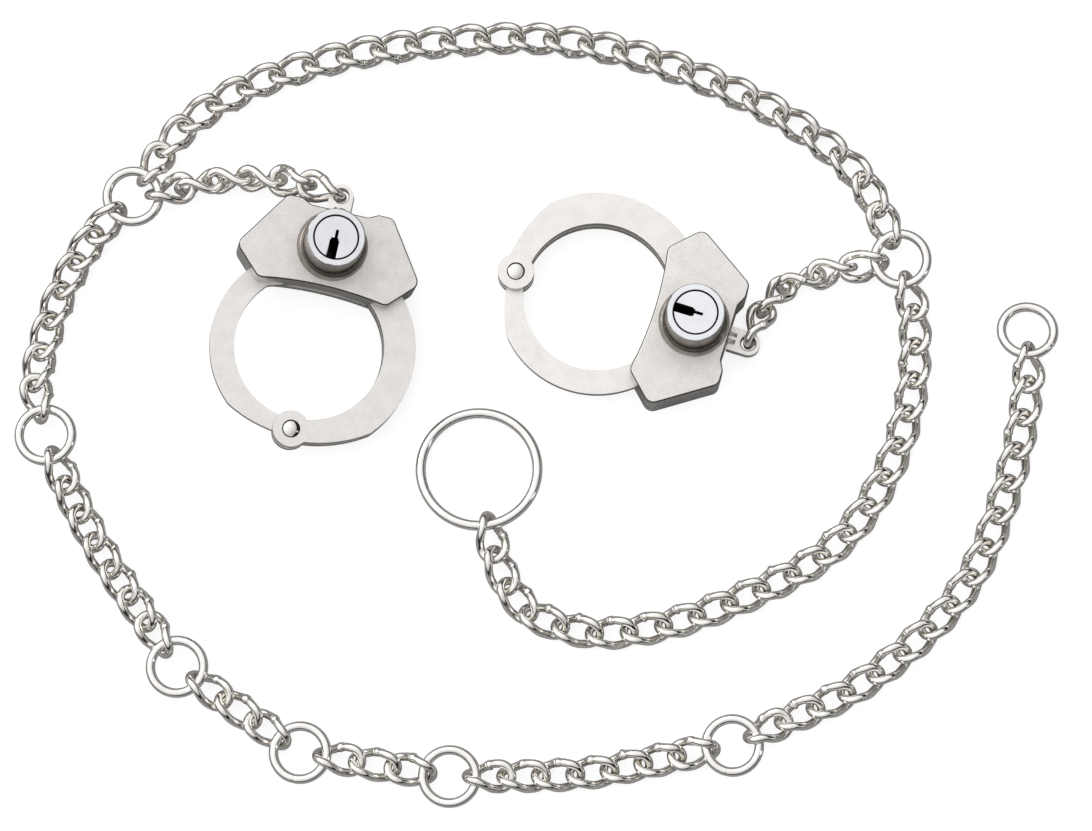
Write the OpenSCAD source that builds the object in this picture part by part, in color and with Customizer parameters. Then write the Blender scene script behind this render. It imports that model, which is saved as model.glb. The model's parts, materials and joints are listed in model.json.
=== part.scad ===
// Belly-chain restraint: two swing-through cuffs with key-lock barrels on a waist chain of
// twisted links, with one large ring and eight small rings. Units are millimetres and Z is up.
// The chain lies on Z = 0 in its closed layout.

/* [Cuff] */
// Radius of the closed wrist opening
opening_radius = 33.7; // [31:0.1:36]
// Distance from the hinge axis to the middle of the wrist opening
opening_offset = 38.6; // [36:0.1:41]
// Outer radius of the double strand
double_outer = 48; // [46:0.1:50]
// Outer radius of the single strand
single_outer = 44.6; // [43:0.1:46]
// Distance from the hinge axis to the swivel eye
eye_distance = 110; // [108:0.5:114]
// Height of the lock housing
housing_height = 20.5; // [19:0.1:24]
// Height of the top of the lock barrel
barrel_top = 40.5; // [32:0.5:45]
// Angle between two ratchet teeth of the single strand
tooth_pitch = 2.5; // [2.5:2.5:5]

/* [Chain] */
// Wire diameter of a chain link
link_wire = 3.8; // [3.4:0.1:4]
// Distance between the wire centres at the two ends of a link
link_reach = 20.55; // [20:0.05:22]
// Radius of the wire centre line round the end of a link
link_end_radius = 5.7; // [5.4:0.1:6]
// Angle that each end of a link is twisted from its middle
link_twist = 38; // [30:1:42]
// Length of the weld collar on one side of a link
weld_length = 2.6; // [2:0.2:4]
// Height of the weld collar above the wire
weld_height = 0.45; // [0.2:0.05:0.5]

/* [Rings] */
// Outer diameter of a small ring
small_ring = 28; // [26:0.1:30]
// Wire diameter of a small ring
small_ring_wire = 4.3; // [4:0.1:4.6]
// Outer diameter of the large ring
large_ring = 57.2; // [50:0.1:60]
// Wire diameter of the large ring
large_ring_wire = 4.6; // [4:0.1:5]

/* [Hidden] */
$fn = 48;

// ---- Small helpers ----

function unit(v) = v / norm(v);
function polar(radius, angle) = [radius * cos(angle), radius * sin(angle)];
function shortest(angle) = angle > 180 ? angle - 360 : angle < -180 ? angle + 360 : angle;

// Outward normal of the edge from p to q on an outline that runs counter-clockwise.
function edge_normal(p, q) = unit([q.y - p.y, p.x - q.x]);

function inset_corner(before, corner, after, inset) =
    let (first = edge_normal(before, corner), second = edge_normal(corner, after))
    corner - inset * (first + second) / (1 + first * second);

function rounded_corner(before, corner, after, radius, steps) =
    let (
        back = unit(before - corner),
        ahead = unit(after - corner),
        half = acos(back * ahead) / 2,
        centre = corner + unit(back + ahead) * radius / sin(half),
        start = corner + back * radius / tan(half) - centre,
        finish = corner + ahead * radius / tan(half) - centre,
        from = atan2(start.y, start.x),
        sweep = shortest(atan2(finish.y, finish.x) - from)
    )
    [for (i = [0 : steps]) centre + polar(radius, from + sweep * i / steps)];

// Outline from corners [x, y, radius], moved inwards by inset.
function outline(corners, inset) =
    let (
        count = len(corners),
        flat = [for (c = corners) [c.x, c.y]],
        moved = [for (i = [0 : count - 1])
            inset_corner(flat[(i + count - 1) % count], flat[i], flat[(i + 1) % count], inset)]
    )
    [for (i = [0 : count - 1])
        each corners[i][2] == 0
            ? [moved[i]]
            : rounded_corner(moved[(i + count - 1) % count], moved[i], moved[(i + 1) % count],
                max(0.6, corners[i][2] - inset), 6)];

module slab(bottom, top) {
    translate([0, 0, bottom])
        linear_extrude(height = top - bottom)
            children();
}

module post(position, radius, bottom, top) {
    translate([position.x, position.y, bottom])
        cylinder(r = radius, h = top - bottom);
}

// A lens-shaped head that fits inside radius and stands rise above its flat side at height z.
module domed_head(position, radius, z, rise, up) {
    ball = (radius * radius + rise * rise) / (2 * rise);
    translate([position.x, position.y, z])
        mirror([0, 0, up ? 0 : 1])
            intersection() {
                translate([0, 0, rise - ball])
                    sphere(r = ball, $fn = 96);
                cylinder(r = radius + 1, h = rise + 1);
            }
}

module wedge(centre, radius, from, to) {
    translate(centre)
        polygon([[0, 0], for (i = [0 : 12]) polar(radius, from + (to - from) * i / 12)]);
}

// ---- Cuff: hinge axis at the origin, +X away from the housing, Z up from its back face ----

back_wall = 2;
parting_z = 7.3;
cheek_back_z = [2.05, 5.05];
strand_z = [5.3, 9.3];
inner_z = [5.4, 9.2];
cheek_front_z = [9.55, 12.55];
cover_z = 18;
wall = 2.5;
opening = [-opening_offset, 0];
lock = [-84, 0];
slot_radius = 78;
tooth_tip = 76.8;
tooth_root = 75.2;
strand_inner = 66.5;
pawl_pivot = [-77.5, 23.7];
case_rivet_places = [[-93, 21], [-93, -21], [-79, 31], [-79, -31]];
wrist_edge_radius = 162.5;
wrist_edge_middle = 97.2;

wrist_edge = [for (y = [-22.5 : 5 : 22.5])
    [wrist_edge_middle - sqrt(wrist_edge_radius * wrist_edge_radius - y * y), y, 0]];

housing_corners = concat(
    [[-62.6, -29.5, 4]],
    wrist_edge,
    [
        [-62.6, 29.5, 4], [-75.7, 42.4, 4.5], [-103, 24.3, 4], [-103, 17.6, 1], [-100.7, 13, 1],
        [-100.7, -13, 1], [-103, -17.6, 1], [-103, -24.3, 4], [-75.7, -42.4, 4.5]
    ]
);

module housing_shape(inset) {
    polygon(outline(housing_corners, inset));
}

module ring_shape(centre, outer, inner) {
    difference() {
        translate(centre)
            circle(r = outer, $fn = 180);
        translate(centre)
            circle(r = inner, $fn = 180);
    }
}

// The double strand, seen from the front: a curved band on the +Y side, flattened near the hinge.
module double_band() {
    intersection() {
        ring_shape(opening, double_outer, opening_radius);
        translate([-57, 0])
            circle(r = 62, $fn = 240);
        wedge(opening, 80, 0, 141);
    }
}

// Material that the housing walls lose so that the double strand can leave.
module strand_window() {
    intersection() {
        ring_shape(opening, double_outer + 0.35, opening_radius - 0.35);
        wedge(opening, 80, 60, 142);
    }
}

module cheek_shape() {
    difference() {
        union() {
            double_band();
            circle(r = 8.2);
            difference() {
                housing_shape(3.1);
                translate([-104, -7])
                    square([9.8, 14]);
            }
        }
        for (place = case_rivet_places)
            translate(place)
                circle(r = 1.68);
        translate(pawl_pivot)
            circle(r = 1.64);
        circle(r = 3);
    }
}

module cheek_back() {
    color([0.72, 0.71, 0.68])
        difference() {
            slab(cheek_back_z[0], cheek_back_z[1])
                cheek_shape();
            post([0, 0], 3.9, cheek_back_z[0] - 1, cheek_back_z[0] + 1);
        }
}

module cheek_front() {
    color([0.74, 0.73, 0.7])
        difference() {
            slab(cheek_front_z[0], cheek_front_z[1])
                cheek_shape();
            post([0, 0], 3.9, cheek_front_z[1] - 1, cheek_front_z[1] + 1);
            post(lock, 8, cheek_front_z[0] - 1, cheek_front_z[1] + 1);
        }
}

module stem_bore() {
    translate([-104, 0, parting_z])
        rotate([0, 90, 0])
            cylinder(r = 3.07, h = 8);
}

module housing_openings() {
    slab(strand_z[0] - 0.25, strand_z[1] + 0.25)
        circle(r = slot_radius, $fn = 240);
    slab(back_wall - 0.05, cheek_front_z[1] + 0.1)
        strand_window();
    stem_bore();
}

module housing_back() {
    color([0.7, 0.69, 0.66])
        difference() {
            slab(0, parting_z)
                housing_shape(0);
            slab(back_wall, parting_z + 1)
                housing_shape(wall);
            housing_openings();
            for (place = case_rivet_places) {
                post(place, 1.68, -1, back_wall + 1);
                post(place, 3.1, -1, 1.1);
            }
        }
}

module housing_front() {
    color([0.72, 0.71, 0.68])
        difference() {
            union() {
                difference() {
                    slab(parting_z + 0.02, housing_height)
                        housing_shape(0);
                    slab(parting_z - 1, cover_z)
                        housing_shape(wall);
                    housing_openings();
                }
                for (place = case_rivet_places)
                    post(place, 3.6, cheek_front_z[1] + 0.1, cover_z + 0.5);
            }
            post(lock, 12, cover_z - 1, housing_height + 1);
            for (place = case_rivet_places)
                post(place, 1.68, cheek_front_z[1] - 1, 17);
        }
}

module case_rivets() {
    color([0.6, 0.6, 0.6])
        for (place = case_rivet_places) {
            post(place, 1.62, 0.6, 16.5);
            post(place, 3, 0.1, 1.05);
        }
}

module case_spacers() {
    color([0.55, 0.56, 0.58])
        for (place = case_rivet_places)
            difference() {
                post(place, 3, cheek_back_z[1] + 0.02, cheek_front_z[0] - 0.02);
                post(place, 1.68, cheek_back_z[1] - 1, cheek_front_z[0] + 1);
            }
}

module hinge_rivet() {
    color([0.8, 0.79, 0.76]) {
        post([0, 0], 2.93, cheek_back_z[0] + 0.5, cheek_front_z[1] - 0.5);
        post([0, 0], 3.5, cheek_front_z[1] - 0.96, cheek_front_z[1] - 0.3);
        domed_head([0, 0], 3.5, cheek_front_z[1] - 0.3, 0.9, true);
        post([0, 0], 3.5, cheek_back_z[0] + 0.1, cheek_back_z[0] + 0.96);
    }
}

// Ratchet teeth rise slowly with the angle and drop on its far side, so the strand only closes.
function tooth_points(from, to, lift, lag) =
    [for (a = [from : tooth_pitch : to - tooth_pitch + 0.01])
        each [polar(tooth_root + lift, a + lag), polar(tooth_tip + lift, a + lag + tooth_pitch - 0.25)]];

module strand_shape() {
    intersection() {
        ring_shape(opening, single_outer, opening_radius);
        translate([-57.5, 0])
            circle(r = 60, $fn = 240);
        wedge(opening, 80, 226.3, 361);
    }
    difference() {
        polygon(concat(
            [polar(60, 206), polar(60, 189), polar(60, 172), polar(tooth_root, 172)],
            tooth_points(172.5, 205, 0, 0),
            [polar(tooth_root, 205), polar(tooth_root, 206)]
        ));
        circle(r = strand_inner, $fn = 240);
    }
    translate(polar(70.9, 172))
        circle(r = 4.25);
    circle(r = 7.7);
}

module strand() {
    color([0.75, 0.74, 0.71])
        slab(strand_z[0], strand_z[1])
            difference() {
                strand_shape();
                circle(r = 3.02);
            }
}

module lock_barrel() {
    seat = housing_height + 0.03;
    cove = 2.8;
    color([0.82, 0.83, 0.85])
        translate([lock.x, lock.y, 0])
            rotate_extrude($fn = 120)
                polygon(concat(
                    [[9.78, 12.9], [11.92, 12.9], [11.92, seat], [16, seat], [16, seat + 0.7]],
                    [for (a = [0 : 15 : 90])
                        [13.2 + cove * (1 - sin(a)), seat + 0.7 + cove * (1 - cos(a))]],
                    [[13.2, barrel_top - 0.6], [12.6, barrel_top], [10.35, barrel_top]],
                    [[10.25, barrel_top - 1.1], [9.78, barrel_top - 1.1]]
                ));
}

// The keyway is narrow toward the swivel and widens toward the bow, where it runs out of the plug.
module keyway() {
    polygon([
        [-3.4, -0.7], [0.4, -0.7], [0.4, -2.1], [1.2, -2.1], [1.6, -2.5], [10.2, -2.5],
        [10.2, 1.8], [1.6, 1.8], [1.2, 1.3], [0.4, 1.3], [0.4, 0.7], [-3.4, 0.7]
    ]);
}

module lock_plug() {
    color([0.84, 0.85, 0.87])
        translate([lock.x, lock.y, 0])
            difference() {
                slab(13.05, barrel_top - 0.2)
                    circle(r = 9.7, $fn = 120);
                slab(barrel_top - 14, barrel_top + 1)
                    keyway();
            }
}

module lock_cam() {
    color([0.62, 0.6, 0.55]) {
        post(lock, 7, inner_z[1] + 0.7, 13.02);
        post([lock.x, lock.y - 5.2], 1.5, inner_z[0] + 0.1, inner_z[1] + 1);
    }
}

// The pawl's teeth face the strand's teeth with a small gap.
module pawl_shape() {
    difference() {
        polygon(concat(
            [for (a = [163 : 3 : 190]) polar(81.3, a)],
            [for (p = [len(tooth_points(182.5, 190, 0.35, 0)) - 1 : -1 : 0])
                tooth_points(182.5, 190, 0.35, 0.2)[p]],
            [for (a = [182 : -3 : 163]) polar(77.7, a)]
        ));
        translate(pawl_pivot)
            circle(r = 2.4);
    }
    difference() {
        translate(pawl_pivot)
            circle(r = 3.6);
        translate(pawl_pivot)
            circle(r = 1.66);
    }
    polygon([
        [-78.2, -17], [-78.2, -13.4], [-88.4, -13.4], [-88.4, 2.6], [-90.8, 2.6], [-90.8, -17],
        [-81.3, -17], [-81.3, -19.5], [-78.5, -19.5], [-78.5, -17]
    ]);
}

module pawl() {
    color([0.5, 0.52, 0.56])
        slab(inner_z[0], inner_z[1])
            pawl_shape();
}

module pawl_pin() {
    color([0.65, 0.65, 0.66])
        post(pawl_pivot, 1.6, cheek_back_z[0] + 0.1, cheek_front_z[1] - 0.1);
}

module pawl_spring() {
    color([0.35, 0.4, 0.5])
        slab(inner_z[0] + 0.3, inner_z[1] - 0.3)
            polygon([
                [-82.6, 5.6], [-81.9, 6.1], [-81.8, 6.8], [-82.4, 7.6], [-84.6, 10], [-87.6, 13.6],
                [-90.6, 17.5],
                [-91, 17.2], [-88, 13.3], [-85, 9.7], [-82.9, 7.3], [-82.4, 6.6], [-82.9, 6]
            ]);
}

module double_lock_bar() {
    color([0.45, 0.46, 0.5])
        slab(inner_z[0], inner_z[1])
            polygon([[-85, -26], [-82, -26], [-82, -21.2], [-82.7, -20.5], [-85, -20.5]]);
}

swivel_half = 2.8;
eye_hole = 3.2;
eye_round = 5.5;
plate_end = 101.1;

module eye_shape() {
    translate([-eye_distance, 0])
        circle(r = eye_round);
    translate([-eye_distance, -eye_round + 0.02])
        square([eye_distance - plate_end, 2 * eye_round - 0.04]);
}

module swivel() {
    color([0.72, 0.71, 0.7]) {
        difference() {
            slab(parting_z - swivel_half, parting_z + swivel_half)
                eye_shape();
            translate([-eye_distance, 0, parting_z - 5])
                cylinder(r = eye_hole, h = 10);
            for (side = [0, 1])
                translate([-eye_distance, 0, parting_z])
                    mirror([0, 0, side])
                        translate([0, 0, swivel_half - 0.8])
                            cylinder(r1 = eye_hole, r2 = eye_hole + 1, h = 1);
        }
        translate([-104.2, 0, parting_z])
            rotate([0, 90, 0])
                cylinder(r = 4, h = 3.2);
        translate([-104, 0, parting_z])
            rotate([0, 90, 0])
                cylinder(r = 3, h = 7);
        translate([-97.9, 0, parting_z])
            rotate([0, 90, 0])
                cylinder(r = 4.5, h = 3);
    }
}

// ---- Where the two cuffs lie ----

// Each place is [eye point, direction of local +X, roll about the swivel stem, mirrored].
eye_a = [-88.6, 95.7, 13.2];
eye_b = [95.4, 28.6, parting_z];
heading_a = 258.35;
heading_b = 162.6;
roll_a = -8;

module place_a(rolled) {
    translate(eye_a)
        rotate([0, 0, heading_a])
            rotate([rolled ? roll_a : 0, 0, 0])
                translate([eye_distance, 0, -parting_z])
                    children();
}

module place_b() {
    translate(eye_b)
        rotate([0, 0, heading_b])
            translate([eye_distance, 0, -parting_z])
                mirror([0, 1, 0])
                    children();
}

// ---- Rings ----

small_path = (small_ring - small_ring_wire) / 2;
large_path = (large_ring - large_ring_wire) / 2;
ring_z = 7.2;

big_ring_at = [-26.1, -28.2];
ring_upper_left_at = [-184, 97.6];
ring_left_at = [-221.4, -13];
ring_lower_left_at = [-160.4, -118.1];
ring_bottom_left_at = [-105.1, -156.5];
ring_bottom_at = [-38.7, -167.1];
ring_lower_right_at = [86.9, -153.3];
ring_right_at = [165.2, 68.2];
end_ring_at = [222.3, 35.6];

module wire_ring(path_radius, wire) {
    rotate_extrude($fn = 96)
        translate([path_radius, 0])
            circle(r = wire / 2, $fn = 40);
}

module small_ring_at(place) {
    color([0.78, 0.78, 0.77])
        translate([place.x, place.y, ring_z])
            wire_ring(small_path, small_ring_wire);
}

// A ring at the end of a chain leans down until its free side lies on the floor.
module leaning_ring(place, path_radius, wire, link_side) {
    lean = asin((ring_z - wire / 2) / (2 * path_radius));
    color([0.8, 0.8, 0.79])
        translate([place.x, place.y, (ring_z + wire / 2) / 2])
            rotate([0, 0, link_side])
                rotate([0, -lean, 0])
                    wire_ring(path_radius, wire);
}

// ---- Chain links ----

wire_radius = link_wire / 2;
link_straight = link_reach - 2 * link_end_radius;

module rod(from, to, radius) {
    step = to - from;
    translate(from)
        rotate([0, acos(step.z / norm(step)), atan2(step.y, step.x)])
            cylinder(r = radius, h = norm(step), $fn = 40);
}

module ball(place, radius) {
    translate(place)
        sphere(r = radius, $fn = 40);
}

function link_corner(end, side) = [
    end * link_straight / 2,
    side * link_end_radius * cos(link_twist),
    end * side * link_end_radius * sin(link_twist)
];

// The point on the welded side at a distance along it from its middle.
function on_side(along) =
    let (first = link_corner(-1, 1), last = link_corner(1, 1))
        (first + last) / 2 + along * (last - first) / norm(last - first);

module chain_link() {
    for (end = [-1, 1])
        translate([end * link_straight / 2, 0, 0])
            rotate([end * link_twist, 0, 0])
                rotate([0, 0, -90 * end])
                    rotate_extrude(angle = 180, $fn = 64)
                        translate([link_end_radius, 0])
                            circle(r = wire_radius, $fn = 40);
    for (side = [-1, 1]) {
        rod(link_corner(-1, side), link_corner(1, side), wire_radius - 0.01);
        for (end = [-1, 1])
            ball(link_corner(end, side), wire_radius + 0.06);
    }
    rod(on_side(-weld_length / 2), on_side(weld_length / 2), wire_radius + weld_height);
}

// ---- Chain routes: smooth curves through way points, cut into equal steps ----

function curve(before, from, to, after, t) =
    0.5 * (2 * from + (to - before) * t + (2 * before - 5 * from + 4 * to - after) * t * t
        + (3 * from - before - 3 * to + after) * t * t * t);

curve_steps = 30;

// Points of a smooth curve through all of points except the first and the last one.
function dense(points) =
    [
        for (i = [1 : len(points) - 3], s = [0 : curve_steps - 1])
            curve(points[i - 1], points[i], points[i + 1], points[i + 2], s / curve_steps),
        points[len(points) - 2]
    ];

function lengths_along(points) =
    [for (i = 0, run = 0; i < len(points);
        run = run + (i + 1 < len(points) ? norm(points[i + 1] - points[i]) : 0), i = i + 1) run];

function equal_steps(points, count) =
    let (
        run = lengths_along(points),
        whole = run[len(run) - 1],
        across = [for (i = [0 : len(run) - 1]) [run[i], points[i].x]],
        up = [for (i = [0 : len(run) - 1]) [run[i], points[i].y]]
    )
    [for (k = [0 : count]) [lookup(whole * k / count, across), lookup(whole * k / count, up)]];

function path_length(points) =
    let (run = lengths_along(points))
    run[len(run) - 1];

// A link's end lies this far inside the middle of a ring's wire.
hook_depth = 4.6;

// Where a run leaves a ring. Each end is [centre, path radius, angle].
function beside_ring(end, inset, further) = end[0] + polar(end[1] - inset + further, end[2]);

// A smooth way between two rings that leaves each one square to its wire. The hook-up points
// lie on the rings' wires, moved inwards by inset.
function way_between(start, way, finish, inset) =
    let (
        straight = len(way) > 0 ? 15 : 0,
        next = straight > 0 ? [beside_ring(start, inset, straight)] : [],
        previous = straight > 0 ? [beside_ring(finish, inset, straight)] : []
    )
    dense(concat(
        [beside_ring(start, inset, -15), beside_ring(start, inset, 0)],
        next,
        way,
        previous,
        [beside_ring(finish, inset, 0), beside_ring(finish, inset, -15)]
    ));

// Height of the hook-up point that is this many links away from a ring.
function joint_z(steps_away) =
    steps_away == 0 ? ring_z : steps_away == 1 ? 6.45 : steps_away == 2 ? 5.9 : 5.6;

// Joints of a run of count links between two rings, from the first hook-up point to the last one.
function ring_run(count, start, way, finish) =
    let (
        rough = way_between(start, way, finish, hook_depth - 2.2),
        slack = (link_reach - path_length(rough) / count) / 2,
        points = way_between(start, way, finish, hook_depth - slack),
        flat = equal_steps(points, count)
    )
    [for (k = [0 : count]) [flat[k].x, flat[k].y, joint_z(min(k, count - k))]];

// Links turn about their own length near a ring, so that its wire passes through them squarely.
function end_roll(steps_away, count) =
    count < 5 ? (steps_away == 0 ? 18 : 0) : steps_away == 0 ? 24 : steps_away == 1 ? 10 : 0;

function ring_rolls(count) = [for (k = [0 : count - 1]) end_roll(count - 1 - k, count) - end_roll(k, count)];

module links(joints, rolls, first, last) {
    color([0.76, 0.76, 0.75])
        for (k = [first : last]) {
            step = joints[k + 1] - joints[k];
            translate((joints[k] + joints[k + 1]) / 2)
                rotate([rolls[k], -asin(step.z / norm(step)), atan2(step.y, step.x)])
                    chain_link();
        }
}

function ring_end(centre, angle) = [centre, small_path, angle];

lead_run = ring_run(
    21, [big_ring_at, large_path, -80],
    [[-8, -90.5], [10, -100], [34, -103.2], [73.8, -94.5], [127.8, -68.6], [154.8, -36.4], [169.5, 4.9]],
    ring_end(ring_right_at, -76)
);
top_run = ring_run(
    25, ring_end(ring_right_at, 112),
    [
        [143.5, 112.5], [105.3, 140.3], [51.3, 163.2], [6.3, 172.4], [-38.7, 171.5], [-83.7, 165.5],
        [-128.7, 151.7], [-157.5, 134.5]
    ],
    ring_end(ring_upper_left_at, 59)
);
side_upper_run = ring_run(
    7, ring_end(ring_upper_left_at, 225), [[-217, 51]], ring_end(ring_left_at, 103)
);
side_lower_run = ring_run(
    7, ring_end(ring_left_at, -67), [[-194.5, -68]], ring_end(ring_lower_left_at, 124)
);
short_left_run = ring_run(3, ring_end(ring_lower_left_at, -35), [], ring_end(ring_bottom_left_at, 145));
short_right_run = ring_run(3, ring_end(ring_bottom_left_at, -9), [], ring_end(ring_bottom_at, 171));
bottom_run = ring_run(
    7, ring_end(ring_bottom_at, 0), [[25, -165.5]], ring_end(ring_lower_right_at, 191)
);
tail_run = ring_run(
    15, ring_end(ring_lower_right_at, 25), [[148, -124], [190.8, -84], [212.5, -35]],
    ring_end(end_ring_at, -90)
);

// The two branches climb from a ring to a swivel eye, so their joints are set one by one.
branch_a_run = [
    [-173.9, 98.9, 7.2], [-160.2, 101.8, 7.6], [-146.8, 104.8, 7.8], [-132.8, 105.9, 8.7],
    [-118, 104.4, 10.3], [-104.75, 101.85, 14.1], [-90.9, 96.55, 13]
];
branch_a_rolls = [-29, -65, -92, -92, 52, 52];
branch_b_run = [
    [155.4, 66.5, 7.2], [141, 64, 7.6], [126.5, 60.8, 7.6], [112.6, 56, 7.6], [102.6, 44.6, 7.65],
    [96.25, 30.5, 7.65]
];
branch_b_rolls = [-29, -65, 79, 61, 61];

function last_link(run) = len(run) - 2;

module ring_links(run, first, last) {
    links(run, ring_rolls(len(run) - 1), first, last);
}

module branch_links(run, rolls) {
    links(run, rolls, 0, last_link(run));
}

// The layout is moved so that its middle is at X = 0, Y = 0.
layout_middle = [0.45, -0.345, 0];
lead_split = 9;
top_split = [8, 16];
tail_split = 7;

module all_nodes() {
    place_a(true) housing_front();  // housing_front_a
    place_a(true) housing_back();  // housing_back_a
    place_a(true) cheek_front();  // cheek_front_a
    place_a(true) cheek_back();  // cheek_back_a
    place_a(true) strand();  // strand_a
    place_a(true) hinge_rivet();  // hinge_rivet_a
    place_a(true) case_rivets();  // case_rivets_a
    place_a(true) case_spacers();  // case_spacers_a
    place_a(true) lock_barrel();  // lock_barrel_a
    place_a(true) lock_plug();  // lock_plug_a
    place_a(true) lock_cam();  // lock_cam_a
    place_a(true) pawl();  // pawl_a
    place_a(true) pawl_pin();  // pawl_pin_a
    place_a(true) pawl_spring();  // pawl_spring_a
    place_a(true) double_lock_bar();  // double_lock_bar_a
    place_a(false) swivel();  // swivel_a

    place_b() housing_front();  // housing_front_b
    place_b() housing_back();  // housing_back_b
    place_b() cheek_front();  // cheek_front_b
    place_b() cheek_back();  // cheek_back_b
    place_b() strand();  // strand_b
    place_b() hinge_rivet();  // hinge_rivet_b
    place_b() case_rivets();  // case_rivets_b
    place_b() case_spacers();  // case_spacers_b
    place_b() lock_barrel();  // lock_barrel_b
    place_b() lock_plug();  // lock_plug_b
    place_b() lock_cam();  // lock_cam_b
    place_b() pawl();  // pawl_b
    place_b() pawl_pin();  // pawl_pin_b
    place_b() pawl_spring();  // pawl_spring_b
    place_b() double_lock_bar();  // double_lock_bar_b
    place_b() swivel();  // swivel_b

    leaning_ring(big_ring_at, large_path, large_ring_wire, -90);  // big_ring
    small_ring_at(ring_upper_left_at);  // ring_upper_left
    small_ring_at(ring_left_at);  // ring_left
    small_ring_at(ring_lower_left_at);  // ring_lower_left
    small_ring_at(ring_bottom_left_at);  // ring_bottom_left
    small_ring_at(ring_bottom_at);  // ring_bottom
    small_ring_at(ring_lower_right_at);  // ring_lower_right
    small_ring_at(ring_right_at);  // ring_right
    leaning_ring(end_ring_at, small_path, small_ring_wire, -90);  // end_ring

    ring_links(lead_run, 0, lead_split - 1);  // lead_chain_start
    ring_links(lead_run, lead_split, last_link(lead_run));  // lead_chain_end
    ring_links(top_run, 0, top_split[0] - 1);  // top_chain_right
    ring_links(top_run, top_split[0], top_split[1] - 1);  // top_chain_mid
    ring_links(top_run, top_split[1], last_link(top_run));  // top_chain_left
    ring_links(side_upper_run, 0, last_link(side_upper_run));  // side_chain_upper
    ring_links(side_lower_run, 0, last_link(side_lower_run));  // side_chain_lower
    ring_links(short_left_run, 0, last_link(short_left_run));  // short_chain_left
    ring_links(short_right_run, 0, last_link(short_right_run));  // short_chain_right
    ring_links(bottom_run, 0, last_link(bottom_run));  // bottom_chain
    ring_links(tail_run, 0, tail_split - 1);  // tail_chain_start
    ring_links(tail_run, tail_split, last_link(tail_run));  // tail_chain_end
    branch_links(branch_a_run, branch_a_rolls);  // branch_chain_a
    branch_links(branch_b_run, branch_b_rolls);  // branch_chain_b
}

translate(-layout_middle)
    all_nodes();
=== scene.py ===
"""Looks of the belly-chain restraint: detailed links and rings, bevelled cuffs, metals, studio and camera.

Lengths in this script are millimetres until they reach Blender, which takes metres.
"""

import json
import math

import bmesh
import bpy
import numpy as np
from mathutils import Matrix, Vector


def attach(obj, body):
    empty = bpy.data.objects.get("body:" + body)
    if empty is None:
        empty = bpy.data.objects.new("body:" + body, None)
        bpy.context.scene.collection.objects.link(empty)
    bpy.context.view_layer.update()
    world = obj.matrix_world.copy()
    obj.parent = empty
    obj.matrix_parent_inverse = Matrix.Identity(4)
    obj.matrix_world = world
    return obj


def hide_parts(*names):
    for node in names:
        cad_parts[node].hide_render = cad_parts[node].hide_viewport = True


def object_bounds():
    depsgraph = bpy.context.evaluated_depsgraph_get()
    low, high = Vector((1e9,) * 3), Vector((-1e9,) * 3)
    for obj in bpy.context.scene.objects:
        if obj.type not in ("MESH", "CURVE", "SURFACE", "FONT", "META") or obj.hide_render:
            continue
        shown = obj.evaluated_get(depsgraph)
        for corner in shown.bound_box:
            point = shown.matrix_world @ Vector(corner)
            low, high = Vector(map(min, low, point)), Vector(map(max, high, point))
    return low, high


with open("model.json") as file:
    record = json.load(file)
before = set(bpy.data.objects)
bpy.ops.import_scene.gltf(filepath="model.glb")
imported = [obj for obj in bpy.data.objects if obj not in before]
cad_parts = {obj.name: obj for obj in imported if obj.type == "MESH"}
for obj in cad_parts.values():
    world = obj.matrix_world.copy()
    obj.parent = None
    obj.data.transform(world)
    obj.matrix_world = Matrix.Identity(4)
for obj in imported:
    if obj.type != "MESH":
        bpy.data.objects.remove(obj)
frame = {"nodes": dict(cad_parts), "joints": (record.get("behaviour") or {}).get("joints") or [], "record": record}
cad_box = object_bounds()

MM = 0.001
CUFFS = ("a", "b")
BODY_OF = {
    node: body
    for body, nodes in frame["record"]["behaviour"]["bodies"].items()
    for node in nodes
}

# ---- Camera: looks down on the layout, a little from its near side ----

camera_elevation = 79.0
camera_distance = 1900.0
camera_lens = 138.4
camera_sensor = 36.0
camera_target = Vector((3.6, -2.3, 0.0))


def make_camera():
    """The camera, turned so that the target is in the middle of its picture."""
    data = bpy.data.cameras.new("camera")
    data.lens = camera_lens
    data.sensor_width = camera_sensor
    data.clip_start = 0.01
    camera = bpy.data.objects.new("camera", data)
    bpy.context.scene.collection.objects.link(camera)
    tilt = math.radians(camera_elevation)
    back = Vector((0.0, -math.cos(tilt), math.sin(tilt)))
    camera.location = (camera_target + back * camera_distance) * MM
    camera.rotation_mode = "QUATERNION"
    camera.rotation_quaternion = (-back).to_track_quat("-Z", "Y")
    bpy.context.scene.camera = camera


make_camera()

# ---- Materials ----

patch_size = 7.0  # of the duller patches on a metal
wave_size = 4.2  # of the shallow waves along a wire

# The values of a noise between which it fades from none to full
grain_fade = (0.3, 0.7)
patch_fade = (0.4, 0.72)
roughness_fade = (0.35, 0.68)


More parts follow.
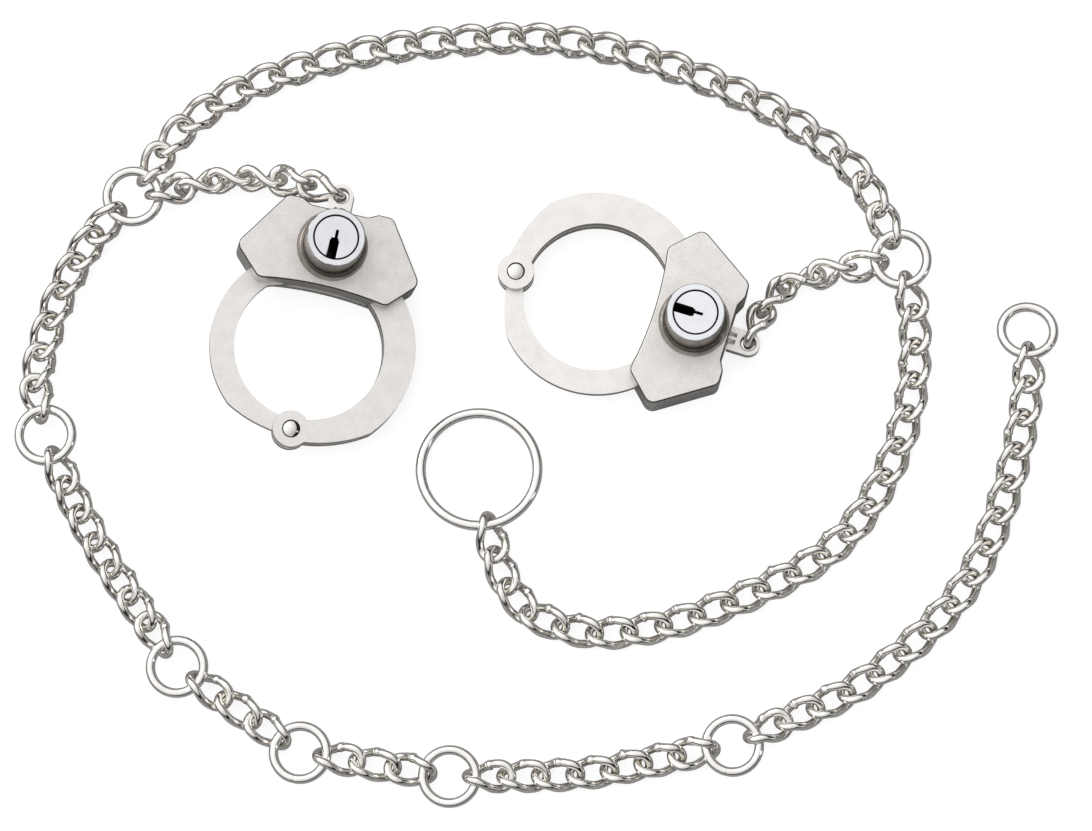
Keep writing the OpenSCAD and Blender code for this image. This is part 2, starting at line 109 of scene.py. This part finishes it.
class Nodes:
    """A short way to add shader nodes and link them."""

    def __init__(self, tree):
        self.tree = tree
        tree.nodes.clear()

    def add(self, kind, **settings):
        node = self.tree.nodes.new(kind)
        for name, value in settings.items():
            setattr(node, name, value)
        return node

    def link(self, source, target):
        self.tree.links.new(source, target)

    def noise(self, vector, scale, detail=3.0, roughness=0.5):
        node = self.add("ShaderNodeTexNoise")
        node.inputs["Scale"].default_value = scale
        node.inputs["Detail"].default_value = detail
        node.inputs["Roughness"].default_value = roughness
        self.link(vector, node.inputs["Vector"])
        return node.outputs["Fac"]

    def ramp(self, value, low, high, to_low, to_high):
        node = self.add("ShaderNodeMapRange")
        node.inputs["From Min"].default_value = low
        node.inputs["From Max"].default_value = high
        node.inputs["To Min"].default_value = to_low
        node.inputs["To Max"].default_value = to_high
        self.link(value, node.inputs["Value"])
        return node.outputs["Result"]

    def mix(self, factor, first, second):
        node = self.add("ShaderNodeMix", data_type="RGBA")
        node.inputs["A"].default_value = (*first, 1.0)
        node.inputs["B"].default_value = (*second, 1.0)
        self.link(factor, node.inputs["Factor"])
        return node.outputs["Result"]

    def bump(self, height, distance, normal=None):
        node = self.add("ShaderNodeBump")
        node.inputs["Distance"].default_value = distance
        self.link(height, node.inputs["Height"])
        if normal is not None:
            self.link(normal, node.inputs["Normal"])
        return node.outputs["Normal"]


def metal(name, bright, dull, roughness, grain, grain_depth, wave=0.0, speckle=0.0):
    """A metal with fine grain, duller patches and, for wire, long shallow waves.

    roughness is its lowest and highest value; grain is the size of a grain and grain_depth and wave are
    heights, in mm; speckle is how much of the dull colour the grain itself takes.
    """
    material = bpy.data.materials.new(name)
    material.use_nodes = True
    nodes = Nodes(material.node_tree)
    place = nodes.add("ShaderNodeTexCoord").outputs["Object"]
    fine = nodes.noise(place, 1 / (grain * MM), 3.0, 0.6)
    patches = nodes.noise(place, 1 / (patch_size * MM), 5.0, 0.65)
    shader = nodes.add("ShaderNodeBsdfPrincipled")
    shader.inputs["Metallic"].default_value = 1.0
    dullness = nodes.add("ShaderNodeMath", operation="MULTIPLY_ADD", use_clamp=True)
    nodes.link(nodes.ramp(fine, *grain_fade, 0.0, 1.0), dullness.inputs[0])
    dullness.inputs[1].default_value = speckle
    nodes.link(nodes.ramp(patches, *patch_fade, 0.0, 1.0 - speckle), dullness.inputs[2])
    nodes.link(nodes.mix(dullness.outputs["Value"], bright, dull), shader.inputs["Base Color"])
    nodes.link(nodes.ramp(patches, *roughness_fade, *roughness), shader.inputs["Roughness"])
    normal = nodes.bump(fine, grain_depth * MM)
    if wave:
        waves = nodes.noise(place, 1 / (wave_size * MM), 2.0)
        normal = nodes.bump(waves, wave * MM, normal)
    nodes.link(normal, shader.inputs["Normal"])
    output = nodes.add("ShaderNodeOutputMaterial")
    nodes.link(shader.outputs["BSDF"], output.inputs["Surface"])
    return material


CHAIN_NICKEL = metal("chain_nickel", (0.95, 0.93, 0.89), (0.78, 0.74, 0.68), (0.08, 0.19), 0.9, 0.012, 0.05)
RING_NICKEL = metal("ring_nickel", (0.95, 0.935, 0.91), (0.84, 0.81, 0.77), (0.06, 0.13), 1.2, 0.006, 0.03)
SATIN_NICKEL = metal(
    "satin_nickel", (0.92, 0.895, 0.865), (0.74, 0.71, 0.675), (0.46, 0.54), 0.7, 0.03, speckle=0.75
)
STRAND_NICKEL = metal(
    "strand_nickel", (0.93, 0.905, 0.875), (0.79, 0.76, 0.725), (0.4, 0.48), 0.7, 0.02, speckle=0.7
)
# Painted dark reflection: a near-black nickel on the rounded edges draws the dark outline a mirror-like edge
# shows.
PAINTED_DARK_EDGE_NICKEL = metal("painted_dark_edge_reflection", (0.2, 0.19, 0.18), (0.13, 0.125, 0.12), (0.14, 0.22), 0.6, 0.006)
# Painted shade: a darker nickel on the steep side walls of the cuffs, whose satin would otherwise mirror the pale
# floor.
PAINTED_SHADE_SIDE_NICKEL = metal("painted_shade_side_nickel", (0.62, 0.595, 0.565), (0.5, 0.475, 0.445), (0.22, 0.34), 0.6, 0.012)
LOCK_CHROME = metal("lock_chrome", (0.8, 0.81, 0.825), (0.75, 0.76, 0.775), (0.14, 0.22), 0.8, 0.004)
# Painted shade: a dark brown on the lock barrel's sides and sunk faces, where shadow falls around the barrel.
PAINTED_SHADE_COVE_STEEL = metal("barrel_painted_shade", (0.27, 0.245, 0.215), (0.17, 0.155, 0.135), (0.22, 0.36), 0.6, 0.01)
RIVET_NICKEL = metal("rivet_nickel", (0.9, 0.88, 0.85), (0.74, 0.72, 0.69), (0.07, 0.13), 0.6, 0.006)
HARD_STEEL = metal("hard_steel", (0.5, 0.51, 0.53), (0.36, 0.37, 0.4), (0.28, 0.42), 0.5, 0.01)
SPRING_STEEL = metal("spring_steel", (0.3, 0.32, 0.36), (0.22, 0.23, 0.26), (0.22, 0.34), 0.5, 0.006)
BRASS = metal("cam_brass", (0.72, 0.6, 0.38), (0.58, 0.46, 0.28), (0.24, 0.36), 0.6, 0.008)
# Painted shade: near black in the rivet recesses, the barrel's bore and the plug's sunk faces and walls, where
# shade falls in the hollows.
PAINTED_GROOVE_SHADE = metal("painted_groove_shade", (0.03, 0.03, 0.032), (0.015, 0.015, 0.016), (0.4, 0.6), 0.5, 0.004)


def paint(obj, material):
    obj.data.materials.clear()
    obj.data.materials.append(material)


# ---- Meshes from numbers ----

weld_distance = 1e-6  # metres between corners that are one corner
wire_seam_side = (0.0, 0.3, 1.0)  # a tube's first row of corners starts square to this


def new_piece(name, points, faces, material):
    """A smooth-shaded object from points in mm."""
    mesh = bpy.data.meshes.new(name)
    mesh.from_pydata((points * MM).tolist(), [], faces.tolist())
    mesh.polygons.foreach_set("use_smooth", [True] * len(mesh.polygons))
    mesh.update()
    obj = bpy.data.objects.new(name, mesh)
    bpy.context.scene.collection.objects.link(obj)
    paint(obj, material)
    return obj


def islands(node):
    """The separate solids of a CAD node, each as its triangles' corners in mm."""
    work = bmesh.new()
    work.from_mesh(frame["nodes"][node].data)
    bmesh.ops.remove_doubles(work, verts=work.verts, dist=weld_distance)
    bmesh.ops.triangulate(work, faces=work.faces)
    mesh = bpy.data.meshes.new("welded")
    work.to_mesh(mesh)
    work.free()
    corners = np.zeros(len(mesh.vertices) * 3)
    mesh.vertices.foreach_get("co", corners)
    corners = corners.reshape(-1, 3) / MM
    triangles = np.zeros(len(mesh.polygons) * 3, int)
    mesh.polygons.foreach_get("vertices", triangles)
    triangles = triangles.reshape(-1, 3)
    bpy.data.meshes.remove(mesh)
    label = np.arange(len(corners))
    while True:
        lowest = label[triangles].min(axis=1)
        new = label.copy()
        np.minimum.at(new, triangles.ravel(), np.repeat(lowest, 3))
        new = new[new]
        if (new == label).all():
            break
        label = new
    whose = label[triangles[:, 0]]
    return [corners[triangles[whose == k]] for k in np.unique(whose)]


def main_axes(triangles):
    """Centre and axes of a thin-walled solid, longest spread first, as columns of a right-handed matrix."""
    middle = triangles.mean(axis=1)
    first_side = triangles[:, 1] - triangles[:, 0]
    second_side = triangles[:, 2] - triangles[:, 0]
    area = np.linalg.norm(np.cross(first_side, second_side), axis=1)
    centre = (middle * area[:, None]).sum(0) / area.sum()
    away = middle - centre
    spread = (away * area[:, None]).T @ away
    axes = np.linalg.eigh(spread)[1][:, ::-1]
    if np.linalg.det(axes) < 0:
        axes[:, 2] = -axes[:, 2]
    return centre, axes


def sweep(path, sides, radius):
    """A closed tube round a closed path. radius(angles) gives the wire's radius at each step and angle."""
    count = len(path)
    along = np.roll(path, -1, axis=0) - np.roll(path, 1, axis=0)
    along /= np.linalg.norm(along, axis=1)[:, None]
    normal = np.cross(along[0], wire_seam_side)
    normals = []
    for tangent in along:
        normal = normal - tangent * (normal @ tangent)
        normal = normal / np.linalg.norm(normal)
        normals.append(normal)
    last = normals[-1] - along[0] * (normals[-1] @ along[0])
    last /= np.linalg.norm(last)
    gap = math.atan2(np.cross(normals[0], last) @ along[0], normals[0] @ last)
    normals = np.array(normals)[:, None, :]
    others = np.cross(along, normals[:, 0])[:, None, :]
    steps = np.arange(count)[:, None]
    angles = 2 * math.pi * np.arange(sides)[None, :] / sides - gap * steps / count
    out = normals * np.cos(angles)[:, :, None] + others * np.sin(angles)[:, :, None]
    points = path[:, None, :] + out * radius(angles)[:, :, None]
    corner = steps * sides + np.arange(sides)
    beside = np.roll(corner, -1, axis=1)
    faces = np.stack([corner, np.roll(corner, -1, axis=0), np.roll(beside, -1, axis=0), beside], axis=2)
    return points.reshape(-1, 3), faces.reshape(-1, 4)


# ---- Chain links ----

link_wire_radius = 1.9
link_half_straight = 4.575
link_end_radius = 5.7
link_twist = math.radians(38)
link_twist_reach = 7.0
link_wire_sides = 18
link_end_steps = 18
link_side_steps = 9
weld_half = 1.0
weld_notch_half = 0.22
weld_notch_depth = 0.16
weld_fin_half = 0.42
weld_search = 1.5  # the weld's bulge is looked for this far from the middle of a CAD link
no_weld = 99.0  # stands for the distance to the weld on the side that has none


def link_outline():
    """The flat outline of a link before it is twisted, with closer points at the weld."""
    weld_steps = [-link_half_straight, -3.6, -2.7, -2.0, -1.6, -1.3, -1.1, -0.9, -0.7, -0.5, -0.3, -0.1]
    weld_side = [(-x, link_end_radius) for x in weld_steps]
    weld_side += [(x, link_end_radius) for x in reversed(weld_steps)]
    turns = [math.pi / 2 + math.pi * i / link_end_steps for i in range(1, link_end_steps)]
    left = [
        (link_end_radius * math.cos(t) - link_half_straight, link_end_radius * math.sin(t)) for t in turns
    ]
    plain = [
        (-link_half_straight + 2 * link_half_straight * i / link_side_steps, -link_end_radius)
        for i in range(link_side_steps + 1)
    ]
    right = [(-x, -y) for x, y in left]
    return weld_side + left + plain + right


def twisted(x, y):
    """A flat point turned about the long axis, more toward each end."""
    share = max(-1.0, min(1.0, x / link_twist_reach))
    turn = link_twist * math.sin(share * math.pi / 2)
    return (x, y * math.cos(turn), y * math.sin(turn))


LINK_FLAT = np.array(link_outline())
LINK_PATH = np.array([twisted(x, y) for x, y in LINK_FLAT])
link_random = np.random.default_rng(7)


def link_shape():
    """One link in its own frame, with its weld a little different from the others'."""
    flash_at = link_random.uniform(0, 2 * math.pi)
    flash = link_random.uniform(0.3, 0.75)
    bead = link_random.uniform(0.22, 0.42)
    shift = link_random.uniform(-0.25, 0.25)

    def radius(angles):
        from_weld = np.where(LINK_FLAT[:, 1] > 0, LINK_FLAT[:, 0] - shift, no_weld)[:, None]
        collar = bead * np.exp(-((from_weld / weld_half) ** 4))
        notch = weld_notch_depth * np.exp(-((from_weld / weld_notch_half) ** 2))
        ridge = np.maximum(0.0, np.cos(angles - flash_at)) ** 5
        fin = flash * np.exp(-((from_weld / weld_fin_half) ** 2)) * ridge
        return link_wire_radius + collar - notch + fin

    return sweep(LINK_PATH, link_wire_sides, radius)


def make_chain(node):
    """Detailed links in place of one CAD run of links."""
    points = []
    faces = []
    for triangles in islands(node):
        centre, axes = main_axes(triangles)
        local = (triangles.reshape(-1, 3) - centre) @ axes
        near_middle = np.abs(local[:, 0]) < weld_search
        if local[near_middle, 1].max() < -local[near_middle, 1].min():
            axes = axes * np.array([-1.0, -1.0, 1.0])
        shape, quads = link_shape()
        faces.append(quads + sum(len(p) for p in points))
        points.append(shape @ axes.T + centre)
    corners = np.concatenate(points)
    piece = new_piece(f"{node}_links", corners, np.concatenate(faces), CHAIN_NICKEL)
    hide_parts(node)
    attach(piece, BODY_OF[node])


# ---- Rings ----

ring_seam_width = 0.5
ring_seam_depth = 0.12
ring_steps = 144
ring_wire_sides = 28


def make_ring(node):
    """A smooth ring with a faint butt weld in place of a CAD ring."""
    triangles = islands(node)[0]
    centre, axes = main_axes(triangles)
    local = (triangles.reshape(-1, 3) - centre) @ axes
    wire = local[:, 2].max()
    path_radius = np.linalg.norm(local[:, :2], axis=1).max() - wire
    turns = 2 * math.pi * np.arange(ring_steps) / ring_steps

    def radius(angles):
        from_weld = (turns[:, None] - math.pi) * path_radius
        return wire - ring_seam_depth * np.exp(-((from_weld / ring_seam_width) ** 2)) + 0 * angles

    path = np.stack([path_radius * np.cos(turns), path_radius * np.sin(turns), 0 * turns], axis=1)
    shape, faces = sweep(path, ring_wire_sides, radius)
    piece = new_piece(f"{node}_wire", shape @ axes.T + centre, faces, RING_NICKEL)
    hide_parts(node)
    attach(piece, BODY_OF[node])


# ---- Cuff parts with rounded edges, painted shade and painted dark reflection ----

cover_rounding = 0.9
plate_rounding = 0.55
slight_rounding = 0.2
least_rounded_angle = math.radians(50)  # a gentler edge isn't rounded
sharp_shading_angle = math.radians(38)
one_plane = math.radians(0.2)  # faces that differ less than this in slope are joined
crumb = 0.003  # corners closer than this after the rounding are joined

# Where an edge or a face is, along the piece's height and around the lock and the rivet
front_level = 0.98
back_level = 0.02
lock_seat_radius = 13.0  # the cover isn't rounded inside this
plug_rim_radius = 9.6
# Barrel faces inside barrel_bore_radius of the lock's axis and plate faces inside rivet_recess_radius of the rivet
# get painted shade.
barrel_bore_radius = 10.4
hinge_boss_radius = 8.0  # the plates are rounded slightly inside this
rivet_recess_radius = 4.2
plug_face_depth = 0.5  # a face of the plug that is all deeper than this gets painted shade
barrel_face_depth = 0.65  # a face of the barrel that is all deeper than this is its side, with painted shade

# The least part of a face's normal that is along the cuff's axis
facing_flat = 0.99  # for a face whose edge may be rounded
facing_front = 0.97  # for a face with the finish of the flats
facing_edge = 0.12  # for a face with the painted dark reflection of the rounded edges
facing_rim = 0.3  # for a face of the barrel that isn't its side, which has painted shade


# Places in a plate's and a lock piece's list of materials: FLAT and BRIGHT hold the real finish, EDGE a painted
# dark reflection, and SIDE, RECESS, DARK and BORE painted shade
FLAT, EDGE, SIDE, RECESS = range(4)
BRIGHT, DARK, BORE = range(3)


def cuff_axis(cuff):
    """The direction that a cuff's flat faces point to, and the lock's axis point, in mm."""
    joint = next(j for j in frame["joints"] if j["name"] == f"key_{cuff}_turn")
    axis = Vector(joint["axis"]).normalized()
    point = Vector(joint["pos_m"]) / MM
    return (axis if axis.z > 0 else -axis), point


def rounded_copy(node, up, widths, finishes_and_shades, segments=3, finish_and_shade_of=None):
    """A copy of a CAD node with its sharp convex edges rounded.

    widths(middle, level) gives the rounding in mm at an edge's middle, where level is its share of the
    node's height along up; 0 leaves the edge sharp. The face function gives the place of a face's
    material in the list of materials, which holds real finish and painted shade.
    """
    work = bmesh.new()
    work.from_mesh(frame["nodes"][node].data)
    bmesh.ops.remove_doubles(work, verts=work.verts, dist=weld_distance)
    bmesh.ops.scale(work, vec=Vector((1, 1, 1)) / MM, verts=work.verts)
    bmesh.ops.recalc_face_normals(work, faces=work.faces)
    bmesh.ops.dissolve_limit(work, angle_limit=one_plane, verts=work.verts, edges=work.edges)
    heights = [up @ v.co for v in work.verts]
    low = min(heights)
    high = max(heights)
    groups = {}
    for edge in work.edges:
        if len(edge.link_faces) != 2 or not edge.is_convex:
            continue
        if edge.calc_face_angle() < least_rounded_angle:
            continue
        flat = [abs(face.normal @ up) > facing_flat for face in edge.link_faces]
        if flat[0] == flat[1]:
            continue
        middle = (edge.verts[0].co + edge.verts[1].co) / 2
        width = widths(middle, (up @ middle - low) / (high - low))
        if width:
            groups.setdefault(width, []).append(edge)
    for width in sorted(groups, reverse=True):
        edges = [e for e in groups[width] if e.is_valid]
        bmesh.ops.bevel(
            work, geom=edges, offset=width, segments=segments, profile=0.5, affect="EDGES",
            clamp_overlap=True,
        )
    bmesh.ops.remove_doubles(work, verts=work.verts, dist=crumb)
    for face in work.faces:
        face.material_index = finish_and_shade_of(face) if finish_and_shade_of else 0
    bmesh.ops.scale(work, vec=Vector((MM, MM, MM)), verts=work.verts)
    mesh = bpy.data.meshes.new(f"{node}_rounded")
    work.to_mesh(mesh)
    work.free()
    mesh.polygons.foreach_set("use_smooth", [True] * len(mesh.polygons))
    mesh.set_sharp_from_angle(angle=sharp_shading_angle)
    obj = bpy.data.objects.new(f"{node}_rounded", mesh)
    bpy.context.scene.collection.objects.link(obj)
    obj.modifiers.new("flat faces", "WEIGHTED_NORMAL").keep_sharp = True
    for material in finishes_and_shades:
        mesh.materials.append(material)
    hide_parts(node)
    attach(obj, BODY_OF[node])


def make_cuff(cuff):
    """Rounded copies of a cuff's visible pieces in their metal finish, with painted shade on their sides,
    recesses and the lock's hollows, and a painted dark reflection on their rounded edges.

    An edge function gives the rounding of an edge, and a face function gives a face's place in the list of
    materials of its piece, which holds both real finish and painted shade.
    """
    up, lock_point = cuff_axis(cuff)
    face_height = max(up @ (v.co / MM) for v in frame["nodes"][f"lock_barrel_{cuff}"].data.vertices)
    rivet = frame["nodes"][f"hinge_rivet_{cuff}"].data.vertices
    rivet_point = sum((v.co / MM for v in rivet), Vector()) / len(rivet)

    def from_axis(point, axis_point):
        away = point - axis_point
        return (away - up * (away @ up)).length

    def cover_edge(middle, level):
        if from_axis(middle, lock_point) < lock_seat_radius:
            return 0
        return cover_rounding if level > front_level else slight_rounding

    def back_edge(middle, level):
        return cover_rounding if level < back_level else slight_rounding

    def plate_edge(middle, level):
        return plate_rounding if (middle - rivet_point).length > hinge_boss_radius else slight_rounding

    def plug_edge(middle, level):
        at_rim = level > front_level and from_axis(middle, lock_point) > plug_rim_radius
        return slight_rounding if at_rim else 0

    def sharp(middle, level):
        return 0

    def flat_edge_or_side(face):
        facing = abs(face.normal @ up)
        if facing > facing_front:
            return FLAT
        return EDGE if facing > facing_edge else SIDE

    def plate_finish_and_shade(face):
        in_recess = max(from_axis(v.co, rivet_point) for v in face.verts) < rivet_recess_radius
        return RECESS if in_recess else flat_edge_or_side(face)

    def sunk(face, depth):
        return max(up @ v.co for v in face.verts) < face_height - depth

    def plug_finish_and_shade(face):
        dark = sunk(face, plug_face_depth) or abs(face.normal @ up) < facing_front
        return DARK if dark else BRIGHT

    def barrel_finish_and_shade(face):
        if max(from_axis(v.co, lock_point) for v in face.verts) < barrel_bore_radius:
            return BORE
        dark = sunk(face, barrel_face_depth) or abs(face.normal @ up) < facing_rim
        return DARK if dark else BRIGHT

    # Each list starts with the real finish; the rest are painted shade and, on the rounded edges, a painted dark
    # reflection.
    satin = [SATIN_NICKEL, PAINTED_DARK_EDGE_NICKEL, PAINTED_SHADE_SIDE_NICKEL]
    strand = [STRAND_NICKEL, PAINTED_DARK_EDGE_NICKEL, PAINTED_SHADE_SIDE_NICKEL, PAINTED_GROOVE_SHADE]
    plug = [LOCK_CHROME, PAINTED_GROOVE_SHADE]
    barrel = [LOCK_CHROME, PAINTED_SHADE_COVE_STEEL, PAINTED_GROOVE_SHADE]
    rounded_copy(f"housing_front_{cuff}", up, cover_edge, satin, 4, flat_edge_or_side)
    rounded_copy(f"housing_back_{cuff}", up, back_edge, satin, 4, flat_edge_or_side)
    for part in ("cheek_front", "cheek_back", "strand"):
        rounded_copy(f"{part}_{cuff}", up, plate_edge, strand, 3, plate_finish_and_shade)
    upward = Vector((0.0, 0.0, 1.0))
    rounded_copy(f"swivel_{cuff}", upward, plate_edge, [STRAND_NICKEL])
    rounded_copy(f"lock_plug_{cuff}", up, plug_edge, plug, 2, plug_finish_and_shade)
    rounded_copy(f"lock_barrel_{cuff}", up, sharp, barrel, 2, barrel_finish_and_shade)


PLAIN_FINISH = {
    "hinge_rivet": RIVET_NICKEL,
    "case_rivets": RIVET_NICKEL,
    "case_spacers": HARD_STEEL,
    "lock_cam": BRASS,
    "pawl": HARD_STEEL,
    "pawl_pin": HARD_STEEL,
    "pawl_spring": SPRING_STEEL,
    "double_lock_bar": HARD_STEEL,
}

for cuff in CUFFS:
    make_cuff(cuff)
    for part, material in PLAIN_FINISH.items():
        paint(frame["nodes"][f"{part}_{cuff}"], material)

for node in sorted(frame["nodes"]):
    if "chain" in node:
        make_chain(node)
    elif "ring" in node.split("_"):
        make_ring(node)

# ---- Studio: pale floor, a wide soft light overhead, dark toward the horizon ----

# The studio's sizes are in metres.
floor_size = 12.0
floor_gap = 0.0002  # below the chain
floor_shade = 0.4
floor_glow = 0.8
# Brightness of the surroundings from below the horizon to overhead
sky_stops = [(0.0, 0.3), (0.13, 0.45), (0.18, 0.01), (0.4, 0.015), (0.5, 0.85), (1.0, 1.1)]
sky_blueness = 1.01
sky_up = (-0.26, 0.15, 1.0)
bright_side = (-0.55, 0.6, 0.0)
bright_side_strength = (0.6, 1.25)
bright_side_reach = 0.7
backdrop_shade = 0.95


def make_floor():
    """White where the camera sees it; greyer where the metal mirrors it, as a sweep in shade is."""
    bpy.ops.mesh.primitive_plane_add(size=floor_size, location=(0, 0, cad_box[0].z - floor_gap))
    floor = bpy.context.object
    floor.name = "floor"
    material = bpy.data.materials.new("floor")
    material.use_nodes = True
    nodes = Nodes(material.node_tree)
    shaded = nodes.add("ShaderNodeBsdfDiffuse")
    shaded.inputs["Color"].default_value = (floor_shade, floor_shade, floor_shade, 1)
    glow = nodes.add("ShaderNodeEmission")
    glow.inputs["Strength"].default_value = floor_glow
    seen_floor = nodes.add("ShaderNodeAddShader")
    nodes.link(shaded.outputs["BSDF"], seen_floor.inputs[0])
    nodes.link(glow.outputs["Emission"], seen_floor.inputs[1])
    both = nodes.add("ShaderNodeMixShader")
    nodes.link(nodes.add("ShaderNodeLightPath").outputs["Is Camera Ray"], both.inputs["Fac"])
    nodes.link(shaded.outputs["BSDF"], both.inputs[1])
    nodes.link(seen_floor.outputs["Shader"], both.inputs[2])
    output = nodes.add("ShaderNodeOutputMaterial")
    nodes.link(both.outputs["Shader"], output.inputs["Surface"])
    paint(floor, material)


def make_world():
    """Bright overhead, with a dark band above a grey horizon that gives the metal its dark lines.

    The band stands higher on the right than on the left.
    """
    world = bpy.data.worlds.new("studio")
    world.use_nodes = True
    bpy.context.scene.world = world
    nodes = Nodes(world.node_tree)
    direction = nodes.add("ShaderNodeTexCoord").outputs["Generated"]
    ramp = nodes.add("ShaderNodeValToRGB")
    for place, _ in sky_stops[1:-1]:
        ramp.color_ramp.elements.new(place)
    for element, (place, level) in zip(ramp.color_ramp.elements, sky_stops):
        element.position = place
        element.color = (level, level, level * sky_blueness, 1)
    aside = nodes.add("ShaderNodeVectorMath", operation="DOT_PRODUCT")
    aside.inputs[1].default_value = sky_up
    nodes.link(direction, aside.inputs[0])
    nodes.link(aside.outputs["Value"], ramp.inputs["Fac"])
    lean = nodes.add("ShaderNodeVectorMath", operation="DOT_PRODUCT")
    lean.inputs[1].default_value = bright_side
    nodes.link(direction, lean.inputs[0])
    soft = nodes.add("ShaderNodeBackground")
    nodes.link(ramp.outputs["Color"], soft.inputs["Color"])
    reach = (-bright_side_reach, bright_side_reach)
    nodes.link(nodes.ramp(lean.outputs["Value"], *reach, *bright_side_strength), soft.inputs["Strength"])
    pale = nodes.add("ShaderNodeBackground")
    pale.inputs["Color"].default_value = (backdrop_shade, backdrop_shade, backdrop_shade, 1)
    seen = nodes.add("ShaderNodeLightPath").outputs["Is Camera Ray"]
    both = nodes.add("ShaderNodeMixShader")
    nodes.link(seen, both.inputs["Fac"])
    nodes.link(soft.outputs["Background"], both.inputs[1])
    nodes.link(pale.outputs["Background"], both.inputs[2])
    output = nodes.add("ShaderNodeOutputWorld")
    nodes.link(both.outputs["Shader"], output.inputs["Surface"])


def make_softbox(name, place, size, power):
    """A rectangular light that faces the origin, with size in metres and power in watts."""
    data = bpy.data.lights.new(name, "AREA")
    data.shape = "RECTANGLE"
    data.size = size[0]
    data.size_y = size[1]
    data.energy = power
    light = bpy.data.objects.new(name, data)
    bpy.context.scene.collection.objects.link(light)
    light.location = place
    light.rotation_mode = "QUATERNION"
    light.rotation_quaternion = (-Vector(place)).to_track_quat("-Z", "Y")


make_floor()
make_world()
make_softbox("left_softbox", (-1.6, 0.9, 1.3), (0.9, 0.5), 5)
make_softbox("right_strip", (1.9, -0.4, 0.9), (0.25, 1.2), 1.2)
bpy.context.scene.view_settings.view_transform = "Standard"
